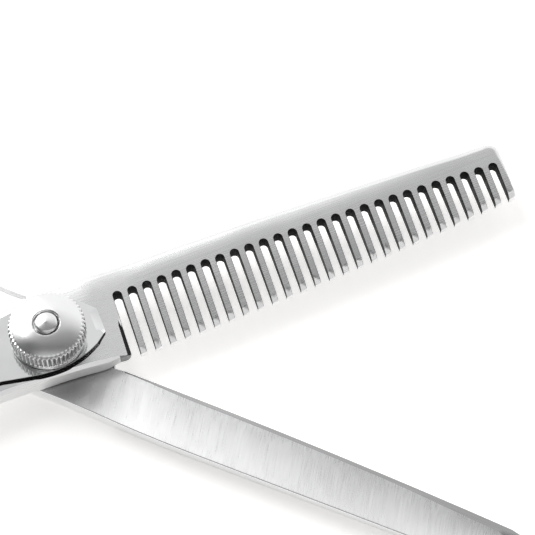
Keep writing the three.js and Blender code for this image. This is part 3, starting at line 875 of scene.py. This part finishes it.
def tension_knob():
    """A fluted knob with a domed crown, a countersunk mouth, a plain rim and an open recess below. The
    flutes' grooves get the second material, a darker steel that is painted shade."""
    side_top = KNOB_BASE + KNOB_SIDE
    rim_top = KNOB_BASE + KNOB_RIM
    edge = 0.34
    crown_end = KNOB_RADIUS - edge
    mouth = [(KNOB_BORE, RECESS_TOP), (KNOB_BORE, KNOB_TOP - 0.42), (KNOB_MOUTH - 0.16, KNOB_TOP - 0.05),
             (KNOB_MOUTH - 0.07, KNOB_TOP)]
    crown = [(r, knob_crown(r)) for r in np.linspace(KNOB_MOUTH, crown_end, 26)]
    shoulder_low = side_top - 0.22
    shoulder = [(crown_end + edge * math.sin(a), shoulder_low + (crown[-1][1] - shoulder_low) * math.cos(a))
                for a in np.radians([15, 30, 45, 60, 75, 90])]
    flank = [(KNOB_RADIUS, z) for z in np.linspace(shoulder_low - 0.1, rim_top + 0.12, 6)]
    rim = [(KNOB_RADIUS, rim_top + 0.03), (KNOB_RADIUS, rim_top - 0.05), (KNOB_RADIUS, KNOB_BASE + 0.14),
           (KNOB_RADIUS - 0.05, KNOB_BASE + 0.05), (KNOB_RADIUS - 0.14, KNOB_BASE)]
    recess = [(RECESS_RADIUS, KNOB_BASE), (RECESS_RADIUS, RECESS_TOP)]
    profile = mouth + crown + shoulder + flank + rim + recess
    start = len(mouth) + len(crown)
    fade_in = [0, 0.12, 0.35, *np.linspace(0.5, 1, len(shoulder))]
    shares = np.zeros(len(profile))  # how deep the flutes are cut at each row
    flutes = [*fade_in, *np.ones(len(flank)), 0.75]
    shares[start - 3:start - 3 + len(flutes)] = flutes

    def radius_at(row, angles):
        groove = 0.5 - 0.5 * np.cos(angles * FLUTES)
        return profile[row][0] - FLUTE_DEPTH * shares[row] * groove ** 1.6

    # faces deep in a groove get the darker steel: painted shade
    def zone_at(row, angle):
        return int(shares[row] == 1 and math.cos(angle * FLUTES) < -0.2)

    return spin("knob", profile, FLUTES * 8, radius_at, closed=True, zone_at=zone_at)


# ---- pivot screw --------------------------------------------------------------------------------
THREAD_RADIUS = 1.45
THREAD_PITCH = 0.5
THREAD_DEPTH = 0.22
SCREW_TOP = 10.2
HEAD_RADIUS = 3.9


def pivot_screw():
    """A flush head with a shallow dished face, a plain journal and a threaded end with a domed tip."""
    dome = 0.42
    chamfer = THREAD_RADIUS - 0.16
    head = [(0, 0.12), (1.2, 0.1), (2.6, 0.03), (HEAD_RADIUS - 0.25, 0), (HEAD_RADIUS - 0.08, 0.05),
            (HEAD_RADIUS, 0.2), (HEAD_RADIUS, 1), (2.3, 1), (2.3, 5.7), (THREAD_RADIUS, 5.75)]
    top = SCREW_TOP - dome
    thread = [(THREAD_RADIUS, z) for z in np.arange(7.9, top, 0.05)]
    end = [(THREAD_RADIUS - 0.03, top + 0.02), (chamfer, top + 0.13)]
    for t in np.linspace(0.1, 0.9, 9):
        end.append((chamfer * (1 - t), top + 0.13 + 0.29 * (t + 0.35 * t * (1 - t))))
    end.append((0, SCREW_TOP))
    profile = head + thread + end

    def radius_at(row, angles):
        radius, level = profile[row]
        if not len(head) <= row < len(head) + len(thread):
            return np.full(len(angles), radius)
        phase = (level / THREAD_PITCH - angles / (2 * math.pi)) % 1
        groove = np.clip(1.35 - 2.7 * np.abs(phase - 0.5), 0, 1)
        runout = 1 - smoothstep(top - 0.1, top, level)
        return radius - THREAD_DEPTH * groove * runout

    return spin("screw", profile, 96, radius_at)


# ---- wave spring --------------------------------------------------------------------------------
SPRING_STRIP = 0.18
SPRING_WIDTH = 1.55
SPRING_WAVES = 3


def wave_spring():
    """The wavy strip ring under the pressure washer."""
    low, high = (np.array(corner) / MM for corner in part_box("wave_spring"))
    mid, swing = (low[2] + high[2]) / 2, (high[2] - low[2] - SPRING_STRIP) / 2
    inner, outer, half, edge = high[0] - SPRING_WIDTH, high[0], SPRING_STRIP / 2, SPRING_STRIP / 5
    profile = [(inner, mid - half + edge), (inner + edge, mid - half), (outer - edge, mid - half),
               (outer, mid - half + edge), (outer, mid + half - edge), (outer - edge, mid + half),
               (inner + edge, mid + half), (inner, mid + half - edge)]
    piece = spin("spring", profile, 96, closed=True)
    for vert in piece.data.vertices:
        vert.co.z += swing * math.cos(SPRING_WAVES * math.atan2(vert.co.y, vert.co.x)) * MM
    return piece


def flatten_with_washer(piece):
    """Bakes the ring's placement into its mesh."""
    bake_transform(piece)


# ---- bumper and finger rest ---------------------------------------------------------------------
BUMPER_X = -59
BUMPER_RADIUS = 2
REST_ANGLE = math.radians(172)
RING_MIDDLE = RING_TOP / 2


def turned_to(piece, axes, offset):
    """Moves a piece drawn along +Z onto the plain half: axes are the directions of its own axes in the
    closed frame, and offset is where its origin goes."""
    cos, sin = math.cos(-HALF_OPENING), math.sin(-HALF_OPENING)
    spun = np.array([[cos, -sin, 0], [sin, cos, 0], [0, 0, 1]])
    places = np.empty(len(piece.data.vertices) * 3)
    piece.data.vertices.foreach_get("co", places)
    places = places.reshape(-1, 3) @ np.array(axes, float) + np.array(offset) * MM
    piece.data.vertices.foreach_set("co", (places @ spun.T).ravel())
    piece.data.update()
    return piece


def at_bumper(piece, y):
    return turned_to(piece, [[1, 0, 0], [0, 0, 1], [0, -1, 0]], (BUMPER_X, y, RING_MIDDLE))


def rubber_bumper():
    profile = [(0, -2.2), (0.85, -2.2), (1, -2), (1, 0.05), (1.9, 0.05), (BUMPER_RADIUS, 0.15),
               (BUMPER_RADIUS, 1.0), (1.93, 1.3), (1.7, 1.55), (1.3, 1.68), (0.7, 1.73), (0, 1.75)]
    return at_bumper(spin("bumper", profile, 48), 1)


def bumper_boss():
    profile = [(0, -3.6), (2.62, -3.5), (2.55, -2.6), (2.42, -1.7), (2.35, -0.8), (2.35, -0.2),
               (2.27, -0.06), (2.1, -0.03), (0, -0.03)]
    return at_bumper(spin("bumper_seat", profile, 48), 1.08)


def at_rest_seat(piece):
    """Stands a piece on the finger ring's outer side, pointing away from the ring's centre."""
    cos, sin = math.cos(REST_ANGLE), math.sin(REST_ANGLE)
    reach = RING_AXES + RING_WALL / 2
    seat = (FINGER_RING[0] + reach[0] * cos, FINGER_RING[1] + reach[1] * sin, RING_MIDDLE)
    return turned_to(piece, [[0, 0, -1], [-sin, cos, 0], [cos, sin, 0]], seat)


def rest_boss():
    profile = [(0, -2), (2.62, -1.9), (2.55, -1.1), (2.3, -0.4), (2.2, 0.2), (2.16, 0.42), (2.0, 0.48),
               (0, 0.48)]
    return at_rest_seat(spin("rest_seat", profile, 48))


REST_ROUTE = [(0, 0.55), (0, 3), (-0.6, 7.5), (-3.6, 12.3), (-9, 15.5)]  # across and along its screw
REST_RADII = [1.95, 1.6, 1.45, 1.6, 1.88]
REST_BALL = 2.15
REST_SIDES = 40


def rest_rows():
    """Centre, direction and radius of each row: a collar with a groove, the curved shaft and its ball."""
    steps = 60
    path = np.vstack([through(REST_ROUTE, steps), REST_ROUTE[-1]])
    radii = np.interp(np.linspace(0, 1, steps + 1), np.linspace(0, 1, len(REST_RADII)), REST_RADII)
    straight = path[:, 0] > -0.5
    collar = np.exp(-((path[:, 1] - 1.7) / 0.42) ** 2) * straight
    groove = np.exp(-((path[:, 1] - 2.7) / 0.22) ** 2) * straight
    radii = np.minimum(radii + 0.1 * collar - 0.22 * groove, REST_RADII[0])
    along = np.gradient(path, axis=0)
    along /= np.linalg.norm(along, axis=1, keepdims=True)
    end, heading = path[-1], along[-1]
    join = math.acos(radii[-1] / REST_BALL)
    rows = [(path[i], along[i], radii[i]) for i in range(1, steps)]
    for angle in np.linspace(-join, math.radians(88), 14):
        rows.append((end + heading * REST_BALL * math.sin(angle), heading, REST_BALL * math.cos(angle)))
    return rows


def finger_rest():
    """The rest's rows as rings across its direction of travel, joined and closed at both ends."""
    bm = bmesh.new()
    rings = []
    for centre, forward, radius in rest_rows():
        across = np.array([forward[1], -forward[0]])
        ring = []
        for k in range(REST_SIDES):
            angle = k / REST_SIDES * 2 * math.pi
            spot = centre + across * radius * math.cos(angle)
            ring.append(bm.verts.new((radius * math.sin(angle), spot[0], spot[1])))
        rings.append(ring)
    for low, high in zip(rings, rings[1:]):
        for i in range(REST_SIDES):
            j = (i + 1) % REST_SIDES
            bm.faces.new((low[i], low[j], high[j], high[i]))
    bm.faces.new(rings[0])
    bm.faces.new(rings[-1])
    return at_rest_seat(finish_mesh("rest", bm))


# ---- materials ----------------------------------------------------------------------------------
def node(tree, kind, inputs=None, **settings):
    """Adds a node. An input is a value, or a socket to link from."""
    made = tree.nodes.new(kind)
    for name, value in settings.items():
        setattr(made, name, value)
    for name, value in (inputs or {}).items():
        if isinstance(value, bpy.types.NodeSocket):
            tree.links.new(value, made.inputs[name])
        else:
            made.inputs[name].default_value = value
    return made


def ramp(tree, source, stops):
    """A ramp of greys from (place, value) stops."""
    made = node(tree, "ShaderNodeValToRGB", {"Fac": source})
    elements = made.color_ramp.elements
    while len(elements) < len(stops):
        elements.new(1.0)
    for element, (place, value) in zip(elements, stops):
        element.position = place
        element.color = (value, value, value, 1)
    return made.outputs["Color"]


def soft_range(tree, source, span_from, span_to):
    """Maps a value from one span to another with a smooth start and end."""
    inputs = {"Value": source, "From Min": span_from[0], "From Max": span_from[1], "To Min": span_to[0],
              "To Max": span_to[1]}
    return node(tree, "ShaderNodeMapRange", inputs, interpolation_type="SMOOTHSTEP").outputs["Result"]


def spot_vector(tree):
    """Where a point is, in the rest frame."""
    return node(tree, "ShaderNodeTexCoord").outputs["Object"]


def blank(name, colour, roughness, metallic=1.0):
    material = bpy.data.materials.new(name)
    material.use_nodes = True
    shader = material.node_tree.nodes["Principled BSDF"]
    shader.inputs["Base Color"].default_value = (*colour, 1)
    shader.inputs["Roughness"].default_value = roughness
    shader.inputs["Metallic"].default_value = metallic
    shader.inputs["Specular IOR Level"].default_value = 0.5 if metallic else 0.2
    return material, material.node_tree, shader


def grain_noise(tree, angle, length, width, detail=3.0):
    """Noise drawn out along a direction in the plane of the blades. length and width are in mm."""
    turned = node(tree, "ShaderNodeMapping", {"Vector": spot_vector(tree), "Rotation": (0, 0, -angle)},
                  vector_type="POINT")
    scale = (1 / (length * MM), 1 / (width * MM), 1 / (width * MM))
    stretched = node(tree, "ShaderNodeMapping", {"Vector": turned.outputs["Vector"], "Scale": scale})
    return node(tree, "ShaderNodeTexNoise", {"Vector": stretched.outputs["Vector"], "Scale": 1.0,
                                             "Detail": detail, "Roughness": 0.6}).outputs["Fac"]


def cloud_noise(tree, size, detail=2.0):
    return node(tree, "ShaderNodeTexNoise", {"Vector": spot_vector(tree), "Scale": 1 / (size * MM),
                                             "Detail": detail}).outputs["Fac"]


def turned_noise(tree, width):
    """Noise in rings about the pivot's axis, as a lathe tool leaves them."""
    flat = node(tree, "ShaderNodeVectorMath", {0: spot_vector(tree), 1: (1, 1, 0)}, operation="MULTIPLY")
    radius = node(tree, "ShaderNodeVectorMath", {0: flat.outputs["Vector"]}, operation="LENGTH")
    return node(tree, "ShaderNodeTexNoise", {"W": radius.outputs["Value"], "Scale": 1 / (width * MM),
                                             "Detail": 2.0}, noise_dimensions="1D").outputs["Fac"]


def span(tree, source, low, high):
    """Maps noise, which mostly lies between 0.3 and 0.7, to low...high."""
    return node(tree, "ShaderNodeMapRange", {"Value": source, "From Min": 0.3, "From Max": 0.7,
                                             "To Min": low, "To Max": high}).outputs["Result"]


def tone(tree, shader, colour, parts):
    """Multiplies the base colour by each part, a socket of grey values."""
    mixed = None
    for part in parts:
        made = node(tree, "ShaderNodeMix", data_type="RGBA", blend_type="MULTIPLY")
        made.inputs[0].default_value = 1
        if mixed is None:
            made.inputs[6].default_value = (*colour, 1)
        else:
            tree.links.new(mixed, made.inputs[6])
        tree.links.new(part, made.inputs[7])
        mixed = made.outputs[2]
    tree.links.new(mixed, shader.inputs["Base Color"])


def product(tree, *values):
    total = values[0]
    for value in values[1:]:
        total = node(tree, "ShaderNodeMath", {0: total, 1: value}, operation="MULTIPLY").outputs["Value"]
    return total


def bumps(tree, shader, source, distance):
    made = node(tree, "ShaderNodeBump", {"Height": source, "Strength": 1, "Distance": distance * MM})
    tree.links.new(made.outputs["Normal"], shader.inputs["Normal"])


def darker_near(tree, spot, radius, value):
    """1 away from a spot of the rest frame in mm, falling to value at it."""
    away = node(tree, "ShaderNodeVectorMath", {0: spot_vector(tree), 1: Vector(spot) * MM},
                operation="DISTANCE").outputs["Value"]
    return soft_range(tree, away, (0, radius * MM), (value, 1))


def ground_steel(name, colour, roughness, angle, length, width, contrast, relief, metallic=1.0, shade=None):
    """Steel with a ground or brushed grain along a direction, cloudy gloss and a few deeper lines.
    shade gives the place, radius and value of a patch of painted shade."""
    material, tree, shader = blank(name, colour, roughness, metallic)
    fine = grain_noise(tree, angle, length, width)
    broad = grain_noise(tree, angle, length * 3, width * 7, 1.0)
    clouds = cloud_noise(tree, 9)
    deep = ramp(tree, grain_noise(tree, angle, length * 1.6, width * 1.7, 1.0),
                [(0.0, 1 - 1.2 * contrast), (0.27, 1 - 0.7 * contrast), (0.33, 1)])
    tones = [span(tree, fine, 1 - contrast, 1), span(tree, broad, 1 - contrast * 0.7, 1),
             span(tree, clouds, 0.985, 1), deep]
    # painted shade: the base colour darkens round a spot
    if shade:
        tones.append(darker_near(tree, *shade))
    tone(tree, shader, colour, tones)
    gloss = product(tree, span(tree, fine, 0.8, 1.25), span(tree, clouds, 0.88, 1.12))
    tree.links.new(product(tree, gloss, roughness), shader.inputs["Roughness"])
    bumps(tree, shader, broad, relief)
    return material


def polished_steel(name, angle):
    """Buffed steel: nearly a mirror, with hairlines both ways and hazier patches where it is handled."""
    colour = (0.84, 0.845, 0.85)
    material, tree, shader = blank(name, colour, 0.08)
    hair = grain_noise(tree, angle, 5, 0.09, 4.0)
    crossing = grain_noise(tree, angle + math.radians(68), 3, 0.12, 3.0)
    haze = cloud_noise(tree, 6, 3.0)
    lines = ramp(tree, hair, [(0.0, 0.9), (0.3, 0.97), (0.4, 1)])
    tone(tree, shader, colour, [lines, span(tree, haze, 0.975, 1)])
    gloss = product(tree, span(tree, haze, 0.7, 1.5), span(tree, crossing, 0.85, 1.2))
    tree.links.new(product(tree, gloss, 0.085), shader.inputs["Roughness"])
    bumps(tree, shader, hair, 0.0006)
    return material


def turned_metal(name, colour, roughness, width, contrast, relief):
    """Metal finished on a lathe: fine rings about the pivot's axis."""
    material, tree, shader = blank(name, colour, roughness)
    rings = turned_noise(tree, width)
    haze = cloud_noise(tree, 2.2, 3.0)
    specks = cloud_noise(tree, 0.12, 2.0)
    tone(tree, shader, colour, [span(tree, rings, 1 - contrast, 1), span(tree, haze, 0.98, 1),
                                span(tree, specks, 0.985, 1)])
    gloss = product(tree, span(tree, rings, 0.82, 1.2), span(tree, haze, 0.85, 1.15))
    tree.links.new(product(tree, gloss, roughness), shader.inputs["Roughness"])
    bumps(tree, shader, rings, relief)
    return material


def matt_plastic(name, colour, roughness, speck):
    """Moulded plastic or rubber: an even matt skin with fine specks."""
    material, tree, shader = blank(name, colour, roughness, 0.0)
    fine = cloud_noise(tree, speck, 3.0)
    worn = cloud_noise(tree, 2.5, 3.0)
    tone(tree, shader, colour, [span(tree, fine, 0.88, 1), span(tree, worn, 0.9, 1)])
    tree.links.new(product(tree, span(tree, worn, 0.85, 1.15), roughness), shader.inputs["Roughness"])
    bumps(tree, shader, fine, 0.012)
    return material


HEEL_PAINTED_SHADE = ((3.1, -6.2, 2.85), 10, 0.42)  # painted shade: the blade's hollow darkened where the toothed half's heel shades it
PIVOT_EDGE_PAINTED_SHADE = ((9.5, -3.4, 2.85), 8, 0.3)  # painted shade: the strip along the cutting edge darkened towards the pivot


def half_materials(side, angle):
    """The finishes of one half, in the order of the zones. angle turns its closed frame to rest."""
    upright = angle + math.pi / 2
    across = angle + math.radians(102)
    return [
        ground_steel(side + "_satin", (0.8, 0.803, 0.806), 0.25, angle, 7, 0.08, 0.03, 0.00008),
        polished_steel(side + "_polished", angle),
        # The slots' walls and roofs get near-black non-metal skins: painted shade standing in for the dark
        # the steel shows there. The pad's lower right wall and the heel's corner facet share the wall's one.
        ground_steel(side + "_slot_wall_painted_shade", (0.03, 0.03, 0.031), 0.6, upright, 1.5, 0.08, 0.2, 0.003, 0.0),
        ground_steel(side + "_slot_roof", (0.008, 0.008, 0.008), 0.7, upright, 0.8, 0.08, 0.2, 0.003, 0.0),
        ground_steel(side + "_bevel", (0.96, 0.96, 0.96), 0.3, angle, 3, 0.1, 0.03, 0.0005),
        ground_steel(side + "_hollow", (0.9, 0.902, 0.905), 0.3, across, 5, 0.09, 0.05, 0.0012,
                     shade=HEEL_PAINTED_SHADE),
        ground_steel(side + "_honed", (0.6, 0.602, 0.605), 0.22, angle, 8, 0.06, 0.08, 0.0015,
                     shade=PIVOT_EDGE_PAINTED_SHADE),
        # The heel's wall: a bright, mostly non-metal copy of the steel, painted light standing in for the
        # wall's bright reflection.
        ground_steel(side + "_heel_wall_painted_light", (0.97, 0.97, 0.97), 0.35, angle, 5, 0.08, 0.03, 0.0005, 0.25),
    ]


def dress(piece, body, slot, materials, *nodes):
    for material in materials:
        piece.data.materials.append(material)
    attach(piece, body)
    if nodes:
        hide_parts(*nodes)


# ---- studio -------------------------------------------------------------------------------------
# Brightness of the surroundings by angle: 0 the horizon behind, 90 overhead, 180 the horizon in front
SKY = [(0, 1.0), (46, 1.0), (62, 0.72), (76, 0.35), (90, 0.25), (102, 0.14), (111, 0.4), (118, 0.74),
       (142, 0.7), (151, 0.09), (160, 0.004), (180, 0.004)]


def soft_surroundings():
    """A studio all round: white behind, greyer overhead, a bright panel in front above a dark foot. To the
    left it is white behind and dark in front."""
    world = bpy.data.worlds.new("studio")
    bpy.context.scene.world = world
    world.use_nodes = True
    tree = world.node_tree
    direction = node(tree, "ShaderNodeTexCoord").outputs["Generated"]
    split = node(tree, "ShaderNodeSeparateXYZ", {"Vector": direction}).outputs
    angle = node(tree, "ShaderNodeMath", {0: split["Z"], 1: split["Y"]}, operation="ARCTAN2").outputs[0]
    over = node(tree, "ShaderNodeMath", {0: angle, 1: math.pi}, operation="DIVIDE").outputs[0]
    along = ramp(tree, over, [(place / 180, value) for place, value in SKY])
    leftness = soft_range(tree, split["X"], (-0.5, -0.16), (1, 0))
    left = soft_range(tree, split["Y"], (-0.05, 0.34), (0.14, 1))
    lit = node(tree, "ShaderNodeMix", data_type="RGBA")
    for socket, source in ((0, leftness), (6, along), (7, left)):
        tree.links.new(source, lit.inputs[socket])
    tree.links.new(lit.outputs[2], tree.nodes["Background"].inputs["Color"])
    tree.nodes["Background"].inputs["Strength"].default_value = 1.13


def soft_light(name, place, target, size, power):
    lamp = bpy.data.lights.new(name, "AREA")
    lamp.shape = "SQUARE"
    lamp.size = size
    lamp.energy = power
    holder = bpy.data.objects.new(name, lamp)
    holder.location = place
    holder.rotation_euler = (Vector(target) - Vector(place)).to_track_quat("-Z", "Y").to_euler()
    bpy.context.scene.collection.objects.link(holder)


def pale_floor():
    mesh = bpy.data.meshes.new("floor")
    half = 1.6
    corners = [(-half, -half, 0), (half, -half, 0), (half, half, 0), (-half, half, 0)]
    mesh.from_pydata(corners, [], [(0, 1, 2, 3)])
    floor = bpy.data.objects.new("floor", mesh)
    bpy.context.scene.collection.objects.link(floor)
    white = (0.93, 0.922, 0.912)
    material, tree, shader = blank("floor_white", white, 0.9, 0.0)
    tone(tree, shader, white, [span(tree, cloud_noise(tree, 60), 0.995, 1)])
    shader.inputs["Emission Color"].default_value = (1, 0.992, 0.982, 1)
    shader.inputs["Emission Strength"].default_value = 0.42
    mesh.materials.append(material)


def photo_camera():
    """The camera of the photograph: above and in front of the knob, a little to its right."""
    low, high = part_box("tension_knob")
    knob_base = Vector(((low[0] + high[0]) / 2, (low[1] + high[1]) / 2, low[2]))
    camera = bpy.data.cameras.new("camera")
    camera.lens = 143.5
    camera.sensor_width = 36
    camera.clip_start = 0.01
    holder = bpy.data.objects.new("camera", camera)
    holder.location = knob_base + Vector((28.386, -121.182, 248.607)) * MM
    holder.rotation_euler = (math.radians(27.8), 0, 0)
    bpy.context.scene.collection.objects.link(holder)
    bpy.context.scene.camera = holder


photo_camera()
soft_surroundings()
soft_light("key", (-0.55, 0.6, 0.75), (0, 0, 0), 0.7, 6)
pale_floor()
bpy.context.scene.view_settings.view_transform = "Standard"

toothed_finishes = half_materials("toothed", HALF_OPENING)
plain_finishes = half_materials("plain", -HALF_OPENING)
dress(toothed_half(), "toothed_half", "satin_steel", toothed_finishes, "toothed_blade")
# the pad's second material is the slots' near-black one: painted shade
pad_finishes = [toothed_finishes[POLISHED], toothed_finishes[PAINTED_SHADE_WALL]]
dress(pad_plate(), "toothed_half", "satin_steel", pad_finishes, "toothed_blade")
dress(plain_half(), "plain_half", "polished_steel", plain_finishes, "plain_blade")
polished = [plain_finishes[POLISHED]]
dress(bumper_boss(), "plain_half", "polished_steel", polished, "plain_blade")
dress(rest_boss(), "plain_half", "polished_steel", polished, "plain_blade")
dress(finger_rest(), "plain_half", "polished_steel", polished, "finger_rest")
knob_finish = turned_metal("knob_satin", (0.84, 0.842, 0.845), 0.2, 0.05, 0.06, 0.001)
# the darker steel in the flutes' grooves is painted shade
groove_painted_shade = turned_metal("knob_groove_painted_shade", (0.4, 0.402, 0.405), 0.3, 0.05, 0.1, 0.001)
dress(tension_knob(), "knob", "knob_chrome", [knob_finish, groove_painted_shade], "tension_knob")
screw_finish = turned_metal("screw_turned", (0.84, 0.84, 0.845), 0.27, 0.08, 0.14, 0.002)
dress(pivot_screw(), "plain_half", "screw_steel", [screw_finish], "pivot_screw")
rubber = matt_plastic("bumper_rubber", (0.018, 0.018, 0.019), 0.72, 0.09)
dress(rubber_bumper(), "plain_half", "bumper_rubber", [rubber], "rubber_bumper")

nylon = matt_plastic("white_nylon", (0.78, 0.77, 0.73), 0.5, 0.2)
spring = ground_steel("spring_strip", (0.42, 0.43, 0.44), 0.3, 0, 2, 0.06, 0.12, 0.002)
for name, finish in (("pivot_bush", nylon), ("thrust_washer", nylon), ("pressure_washer", spring)):
    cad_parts[name].data.materials.clear()
    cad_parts[name].data.materials.append(finish)

spring_ring = wave_spring()
spring_ring.data.materials.append(spring)
flatten_with_washer(spring_ring)
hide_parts("wave_spring")
